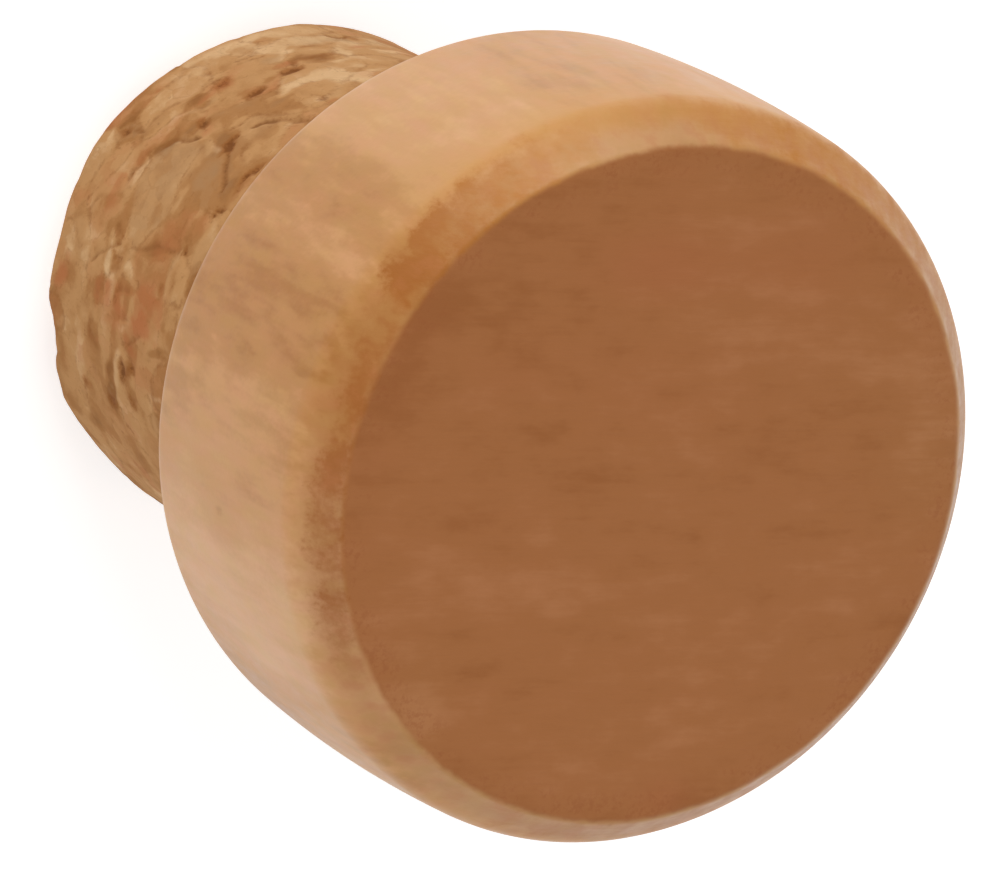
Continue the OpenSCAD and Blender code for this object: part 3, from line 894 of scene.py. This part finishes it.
def cork_material():
    material, tree = new_material("pressed_cork")
    tone, red, streak, lip_and_highlight = attributes(tree, "tone", "red", "streak", "lip_and_highlight")
    flake, flake_hue, flake_edge = flakes(tree, (1.1, 1.1, 0.95))
    cloud = noise(tree, (0.8, 0.8, 0.5), 2)
    mottle = noise(tree, (2.0, 2.0, 1.3), 3, 0.6)
    fine = noise(tree, (5.5, 5.5, 4.0), 3, 0.6)
    cells = noise(tree, (14, 14, 14), 2, 0.6)
    freckle = noise(tree, (2.6, 2.6, 2.6), 2, 0.7).step(0.14, 0.26, 0, 0.30)

    level = tone + 0.06 * streak + 0.15 * flake + 0.28 * cloud + 0.27 * mottle
    level = level + 0.18 * fine + 0.05 * cells + 0.02
    colour = ramp(level, (0.10, 151, 100, 53), (0.36, 173, 121, 71), (0.60, 194, 145, 94),
                  (0.92, 218, 177, 130))
    hue = red + 0.28 * flake_hue + 0.40 * cloud + 0.40 * mottle
    colour = mix(hue.step(0.0, 1.0, 0, 0.80), colour, rgb(184, 110, 66))
    colour = mix(hue.step(-0.05, -1.0, 0, 0.80), colour, rgb(178, 139, 98))
    # Torn lips: a painted highlight, pale where the lip's edge would catch the light
    colour = mix((lip_and_highlight + 0.6 * fine).step(0.10, 1.0, 0, 0.60), colour, rgb(216, 174, 128))
    colour = mix(freckle, colour, rgb(136, 84, 44))
    line = flake_edge * (cloud + 0.8 * mottle).step(-0.05, 0.20)
    line = (line + 1.2 * fine).step(0.20, 1.0, 0, 0.20)
    colour = mix(line, colour, rgb(146, 93, 48))
    # Seams are dark joints; the dark cracks and holes are partly painted shade of their hollows
    for name, fray, start, full, share, tint in CORK_MARKS:
        mark = attributes(tree, name)[0] + fray * fine
        colour = mix(mark.step(start, full, 0, share), colour, rgb(*tint))

    bumps = 0.45 * fine + 0.35 * cells + 0.12 * flake - 0.15 * freckle - 0.30 * line
    add_shader(tree, colour, 0.25 * fine + 0.80, 0.12, bumps, 0.40, 0.06)
    return material


def make_cork():
    low, high = (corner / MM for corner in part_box("cork_shank"))
    radius, reach = high.x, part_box("wood_cap")[0].z / MM
    shape = Turned(cork_section(radius, reach, high.z))
    surface = CorkSurface(shape, radius, reach)
    points = shape.points + surface.relief()[:, None] * shape.normals
    points[:, 2] = np.maximum(points[:, 2], low.z)
    tone, red = surface.tones()
    values = {"tone": tone, "red": red, "streak": surface.streaks(), "seam": surface.seam,
              "crack": surface.crack, "hole": surface.hole, "lip_and_highlight": surface.lip_and_highlight}
    piece = shape.make("cork_plug", points, values, cork_material())
    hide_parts("cork_shank")


# ---------------------------------------------------------------- wooden cap

BELLY_H, SIDE_CURVE_R = 4.4, 68.0
SHOULDER_W, SHOULDER_ANGLE, SHOULDER_BLEND_R = 1.15, 51.0, 1.4
FACE_EDGE_R, FOOT_EDGE_R = 0.4, 0.75
SOCKET_R, MOUTH_CHAMFER = 9.85, 0.3
CAP_SEED = 5
GRAIN_TURN = 116.0  # the wood's fibres run across the cap, this many degrees from +X

# Stain round the shoulder: azimuth, depths below the face where it starts and ends, strength, how
# far it is from brown, 0, to amber, 1, the tint of the whole shoulder, and how pale its rim and
# upper shoulder are, partly from wear and partly as a painted highlight
STAIN_ROUND = [
    (-165, 0.1, 1.2, 0.5, 0.3, 0.45, 0.6), (-130, 0.15, 1.4, 0.6, 0.6, 0.45, 0.6),
    (-95, -0.05, 1.7, 0.85, 0.9, 0.5, 0.4), (-80, -0.05, 1.62, 0.82, 0.9, 0.48, 0.3),
    (-71, 0.05, 1.75, 0.64, 0.9, 0.46, 0.35), (-60, 0.7, 1.8, 0.38, 0.8, 0.28, 0.65),
    (-48, 0.8, 1.6, 0.32, 1, 0.32, 0.55), (-40, 0.05, 1.65, 0.58, 1, 0.55, 0.25),
    (-30, -0.25, 1.65, 0.86, 0.8, 0.68, 0), (-24, -0.25, 1.7, 1, 0.62, 0.7, 0),
    (-19, -0.25, 1.55, 1.08, 0.4, 0.7, 0), (-15, -0.25, 1.5, 1.1, 0.3, 0.7, 0),
    (-9, -0.35, 1.45, 1.2, 0.12, 0.8, 0), (-5.5, -0.3, 1.25, 1.05, 0.15, 0.65, 0),
    (-3.5, -0.1, 1.1, 0.62, 0.1, 0.58, 0.1), (2, -0.08, 1, 0.66, 0, 0.52, 0.1),
    (8, -0.15, 0.85, 0.84, 0, 0.5, 0.05), (15, -0.22, 0.9, 1, 0, 0.55, 0),
    (20, -0.38, 0.85, 1.1, 0, 0.66, 0), (28, -0.15, 1, 0.94, 0, 0.62, 0.08),
    (42, -0.25, 0.95, 0.88, 0, 0.58, 0.05), (50, -0.15, 1.05, 0.76, 0, 0.5, 0.1),
    (55, 0, 1.1, 0.5, 0.1, 0.32, 0.15), (63, 0.05, 0.95, 0.2, 0.1, 0.08, 0.25),
    (80, 0.1, 1.05, 0.18, 0.1, 0.08, 0.35), (115, 0.1, 1.2, 0.55, 0.1, 0.4, 0.5),
    (150, 0.1, 1.3, 0.6, 0.2, 0.42, 0.5),
]

# Tone of the side round the cap, from 0, dark, to 1, pale, and its hue, from -1, golden, to 1, pink
SIDE_TONES = [
    (-160, 0.5, 0), (-130, 0.62, 0.2), (-100, 0.7, 0.4), (-72, 0.72, 0.9), (-60, 0.52, 0.3),
    (-50, 0.57, 0.2), (-40, 0.7, 0), (-30, 0.7, -0.3), (-24, 0.66, -0.6), (-17, 0.48, -0.4),
    (-11, 0.3, 0), (-6, 0.42, -0.2), (-2, 0.3, -0.2), (5, 0.2, 0), (10, 0.22, 0.1), (14, 0.32, 0.2),
    (20, 0.46, 0), (26, 0.54, 0.1), (33, 0.58, -0.2), (40, 0.72, 0.1), (50, 0.88, 0.2),
    (60, 0.76, 0.2), (74, 0.48, 0), (100, 0.55, 0), (130, 0.48, -0.2), (165, 0.6, 0.1),
]

# Soft patches on the side: azimuth, height above the underside, half width, half height, change
# of tone
SIDE_PATCHES = [
    (72, 2.9, 2.4, 2.2, -0.26), (66, 1, 2, 0.9, -0.14), (-5.5, 8.6, 0.5, 1.6, 0.16),
    (-17, 6, 0.5, 3.2, -0.1), (-22.5, 7, 0.6, 1.3, 0.08), (-11.5, 6.2, 0.5, 1.1, -0.08),
    (-10, 4, 0.5, 1.2, 0.07), (5, 8.2, 1.5, 2.2, -0.08), (1.5, 5.2, 0.6, 1.8, -0.08),
    (11, 9.8, 0.25, 0.7, -0.14), (12.5, 5.6, 0.5, 1.4, -0.06), (16.5, 7.8, 0.45, 2.4, 0.12),
    (29, 8.4, 0.7, 1.4, -0.06), (37, 5.7, 0.22, 0.3, -0.26), (44, 4, 0.8, 1.6, 0.06),
    (33, 3, 0.9, 1.4, 0.07), (-33, 4, 0.8, 1.6, 0.06), (-45, 8, 0.7, 2, -0.06),
    (-58, 6.5, 0.8, 2.6, 0.06), (-40, 11.35, 0.16, 0.12, -0.8), (-112, 7.2, 0.5, 1.6, -0.12),
    (104, 7.3, 0.5, 1.8, -0.12), (150, 4.2, 0.6, 2, -0.12),
]

# Soft patches on the face: place along X and Y, half sizes along and across the grain, change of
# tone, and redness
FACE_PATCHES = [
    (-1.4, -11.8, 1.3, 0.9, -0.42, 0), (4.3, -11.4, 1.3, 0.9, -0.22, 0),
    (7, -10, 1.5, 1.2, -0.16, 0), (11.4, -4, 1.3, 2.2, 0.34, -0.2), (-10.9, -4.6, 2, 1.6, 0.16, 0),
    # The pale patch at (-6, 9.8) is a painted sheen near the face's edge
    (-6, 9.8, 2.4, 2.6, 0.38, -0.2), (-8, 6, 3.4, 2, 0.2, 0), (2, 10.5, 2, 5, 0.08, 0),
    (-9.5, 0.5, 2.6, 1.4, 0.05, 0.35), (-6.8, -4.5, 2.6, 1.2, 0.03, 0.6),
    (-3, -3, 4, 1.8, -0.08, 0.1), (-2.5, 2.5, 1.6, 1.2, -0.08, 0), (1.2, 6.4, 1.2, 1, -0.08, 0),
    (0.6, -2.6, 1.4, 1, -0.1, 0), (4, -5.6, 1.3, 1, -0.08, 0), (5.6, -1.2, 2.6, 1.2, 0.07, 0),
    (9, 2, 3, 1.4, 0.07, 0), (-1, -8, 1.8, 1.2, -0.08, 0.1), (2.5, -9, 1.6, 1, 0.06, 0),
    (1, -11.6, 1, 3, -0.14, 0.1), (-10.2, -6, 1.2, 2, -0.12, 0.1), (9.4, 7, 1.2, 0.8, -0.03, 0.5),
]


def cap_section(radius, low, high, socket_top):
    """From the rim of the face's flat down the shoulder and the side, and into the socket."""
    height = high - low
    centre = np.array([radius - SIDE_CURVE_R, BELLY_H])
    slope = math.radians(SHOULDER_ANGLE)
    out = np.array([math.sin(slope), math.cos(slope)])
    down = np.array([out[1], -out[0]])

    def side(z, inset=0.0):
        return centre[0] + math.sqrt((SIDE_CURVE_R - inset) ** 2 - (z - centre[1]) ** 2)

    face_r = side(height) - SHOULDER_W
    edge = np.array([face_r - FACE_EDGE_R * math.tan(slope / 2), height - FACE_EDGE_R])
    foot = np.array([side(FOOT_EDGE_R, FOOT_EDGE_R), FOOT_EDGE_R])
    start = np.array([face_r, height]) - SHOULDER_BLEND_R * out
    away, reach = start - centre, SIDE_CURVE_R - SHOULDER_BLEND_R
    run = -(away @ down) + math.sqrt((away @ down) ** 2 - away @ away + reach ** 2)
    blend = start + run * down

    def level(point):
        return math.degrees(math.atan2(*(point - centre)[::-1]))

    # The last number of each is how many steps it has, or how long they are if it is straight
    stretches = [
        arc(edge, FACE_EDGE_R, 90, 90 - SHOULDER_ANGLE, 4),
        along(edge + FACE_EDGE_R * out, blend + SHOULDER_BLEND_R * out, 0.12),
        arc(blend, SHOULDER_BLEND_R, 90 - SHOULDER_ANGLE, level(blend), 6),
        arc(centre, SIDE_CURVE_R, level(blend), level(foot), 48),
        arc(foot, FOOT_EDGE_R, level(foot), -90, 8),
        along((foot[0], 0), (SOCKET_R + MOUTH_CHAMFER, 0), 0.4),
        along((SOCKET_R + MOUTH_CHAMFER, 0), (SOCKET_R, MOUTH_CHAMFER), 0.2),
        along((SOCKET_R, MOUTH_CHAMFER), (SOCKET_R, socket_top - low), 1.2),
    ]
    return joined(*stretches) + [0, low]


def round_the_cap(azimuth, rows):
    """The columns of a table that starts with azimuths, smoothly from one row to the next."""
    table = np.array(rows, float)
    turn = np.zeros(table.shape[1])
    turn[0] = 360
    table = np.concatenate([table[-1:] - turn, table, table[:1] + turn])
    after = np.clip(np.searchsorted(table[:, 0], azimuth), 1, len(table) - 1)
    start, end = table[after - 1], table[after]
    share = smooth_step(0, 1, (azimuth - start[:, 0]) / (end[:, 0] - start[:, 0]))
    return (start + (end - start) * share[:, None])[:, 1:].T


def side_tones(azimuth, out, up, rough):
    """Tone and hue of the side, from the azimuth and the distances from the axis and underside."""
    bent = azimuth + 1.5 * rough(5, [3, 3, 6]) + 1.0 * rough(8, [0.8, 0.8, 1.6])
    tone, pink = round_the_cap(bent, SIDE_TONES)
    frayed = 1 + 0.4 * rough(40, 0.8)
    for place, height, wide, tall, change in SIDE_PATCHES:
        turned = (azimuth - place + 180) % 360 - 180
        across = np.radians(turned) * out / wide
        tone = tone + change * np.exp(-(across ** 2 + ((up - height) / tall) ** 2) * frayed)
    return tone, pink


def face_tones(points):
    """Tone and redness of the face."""
    tone, red = np.full(len(points), 0.5), np.zeros(len(points))
    turn = math.radians(GRAIN_TURN)
    for x, y, far, wide, change, more_red in FACE_PATCHES:
        offset = points[:, :2] - [x, y]
        along_grain = offset @ [math.cos(turn), math.sin(turn)] / far
        across_grain = offset @ [-math.sin(turn), math.cos(turn)] / wide
        near = np.exp(-along_grain ** 2 - across_grain ** 2)
        tone, red = tone + change * near, red + more_red * near
    return tone, red


def cap_fields(shape, low, high):
    """Slight unevenness of the hand-finished turning, in millimetres, and the material's values."""
    source = Noise(CAP_SEED)
    points, azimuth = shape.points, azimuth_of(shape.points)

    def rough(shift, cell):
        return source(points + shift, cell)

    depth = high - points[:, 2]
    wander = azimuth + 1.2 * rough(0, 2.5) + 0.8 * rough(3, 0.5)
    start, end, stain, amber, tint, wear_and_highlight = round_the_cap(wander, STAIN_ROUND)
    inside = np.minimum(depth - start, end - depth)
    out = np.hypot(points[:, 0], points[:, 1])
    tone, pink = side_tones(azimuth, out, points[:, 2] - low, rough)
    face_tone, face_red = face_tones(points)
    at_edge = 1 - smooth_step(0.0, 1.0, np.abs(shape.path - 0.25))
    relief = 0.012 * rough(0, 6.0) + at_edge * 0.025 * rough(9, 1.3)
    values = {"from_edge": shape.path, "depth": depth, "stain_inside": inside, "stain": stain,
              "amber": amber, "tint": tint, "wear_and_highlight": wear_and_highlight, "tone": tone, "pink": pink,
              "face_tone": face_tone, "face_red": face_red}
    return relief, values


def grain(tree, per_mm, detail=3.0, roughness=0.55):
    """Noise that follows the fibres: its cells are given along, across and upwards."""
    return noise(tree, per_mm, detail, roughness, GRAIN_TURN)


# What the side's colour is multiplied by where it leans to golden and to pink
GOLDEN_SHIFT = (0.985, 1.005, 0.90, 1)
PINK_SHIFT = (1.035, 0.985, 1.06, 1)


def wood_material():
    material, tree = new_material("varnished_wood")
    from_edge, tone, pink, wear_and_highlight = attributes(tree, "from_edge", "tone", "pink", "wear_and_highlight")
    cloud = noise(tree, (0.35, 0.35, 0.22), 3)
    mottle = noise(tree, (1.3, 1.3, 0.6), 2, 0.5)
    streaks = noise(tree, (1.9, 1.9, 0.5), 2, 0.5)
    bands = grain(tree, (0.12, 1.1, 0.10))
    fibres = grain(tree, (0.6, 6.0, 4.0), 3, 0.6)
    specks = noise(tree, (5, 5, 5), 3, 0.65)

    uneven = (0.46 * mottle + 0.38 * streaks) * tone.step(0.3, 0.8, 1.1, 0.45)
    level = tone + uneven + 0.34 * cloud + 0.30 * bands + 0.16 * fibres + 0.08 * specks
    colour = ramp(level, (0.05, 170, 112, 52), (0.32, 186, 131, 73), (0.62, 204, 150, 97),
                  (0.95, 220, 171, 124))
    blush = noise(tree, (1.4, 1.4, 0.6), 3, 0.5) + 0.10 * pink
    hue = mix(blush.step(-0.26, 0.26), GOLDEN_SHIFT, PINK_SHIFT)
    colour = mix(1.0, colour, hue, "MULTIPLY")
    colour = stained(tree, colour, blush, specks, mottle, fibres)

    wander = from_edge + 0.25 * mottle + 0.12 * specks
    face = wander.step(0.01, 0.28, 1, 0)
    colour = mix(face, colour, face_colour(tree, from_edge, bands, fibres, specks))
    # A pale ring just outside the face's flat, on its rounded edge: partly wear and partly a painted
    # highlight
    rim = wander.step(0.10, 0.24) * wander.step(0.26, 0.44, 1, 0)
    rim = rim * (mottle + 0.8 * cloud).step(-0.20, 0.15, 0.0, 0.50) * wear_and_highlight
    colour = mix(rim, colour, rgb(207, 154, 98))

    roughness = 0.42 + 0.25 * mottle + 0.2 * fibres + 0.16 * face
    bumps = 0.4 * bands + 0.5 * fibres + 0.15 * specks
    add_shader(tree, colour, roughness, 0.35, bumps, 0.30, 0.05)
    return material


def stained(tree, colour, blush, specks, mottle, fibres):
    """The side's colour with the stain that has soaked in round the shoulder."""
    depth, inside, strength, amber, tint, wear_and_highlight = attributes(
        tree, "depth", "stain_inside", "stain", "amber", "tint", "wear_and_highlight")
    facet = (depth + 1.4 * mottle).step(0.6, 1.8, 1, 0) * tint
    colour = mix(facet, colour, mix(amber, rgb(178, 118, 62), rgb(198, 138, 66)))
    # Pale upper shoulder: partly wear and partly a painted highlight
    colour = mix(depth.step(0.6, 1.3, 0.7, 0) * wear_and_highlight, colour, rgb(192, 147, 104))
    golden = (depth + 2.0 * mottle).step(1.3, 4.5, 0.5, 0) * depth.step(0.5, 1.3) * amber
    colour = mix(golden, colour, rgb(206, 148, 72))

    amount = (inside + 0.55 * specks + 1.3 * mottle + 0.30 * fibres).step(-0.35, 0.50)
    patchy = 0.95 + 0.55 * specks + 0.95 * mottle + 0.35 * fibres
    hue = mix(amber, rgb(161, 94, 31), rgb(190, 122, 42))
    colour = mix(amount * strength * patchy, colour, hue)
    on_facet = depth.step(0.5, 1.7, 0.30, 0.0)
    colour = mix(blush.step(0.0, 0.20) * on_facet, colour, rgb(184, 112, 62))
    return mix(blush.step(0.0, -0.20) * on_facet, colour, rgb(188, 138, 76))


def face_colour(tree, from_edge, bands, fibres, specks):
    """The flat face: darker than the side, with faint blotches and streaks along the grain."""
    tone, red = attributes(tree, "face_tone", "face_red")
    blotches = grain(tree, (0.65, 1.3, 1.0))
    wide = grain(tree, (0.16, 0.35, 0.3), 2)
    level = tone + 0.30 * bands + 0.25 * fibres + 0.78 * blotches + wide
    colour = ramp(level, (0.10, 158, 95, 42), (0.50, 169, 107, 55), (0.95, 181, 121, 72))
    warm = (0.45 * red + 0.15 * blotches + 0.30 * wide).step(-0.25, 0.5, 0, 0.50)
    colour = mix(warm, colour, rgb(178, 99, 57))
    near_edge = (from_edge + 1.6 * blotches).step(-1.3, -0.1)
    spotted = (specks + 0.6 * blotches).step(-0.02, 0.20)
    return mix(0.40 * near_edge * spotted, colour, rgb(154, 84, 36))


def make_cap():
    low, high = (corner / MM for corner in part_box("wood_cap"))
    socket_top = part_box("cork_shank")[1].z / MM
    shape = Turned(cap_section(high.x, low.z, high.z, socket_top))
    relief, values = cap_fields(shape, low.z, high.z)
    points = shape.points + relief[:, None] * shape.normals
    points[:, 2] = np.minimum(points[:, 2], high.z)
    piece = shape.make("turned_cap", points, values, wood_material())
    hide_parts("wood_cap")


# ---------------------------------------------------------------- scene

make_camera()
make_cork()
make_cap()
make_floor()
make_world()
for light in LIGHTS:
    make_light(*light)

scene = bpy.context.scene
scene.view_settings.view_transform = "Standard"
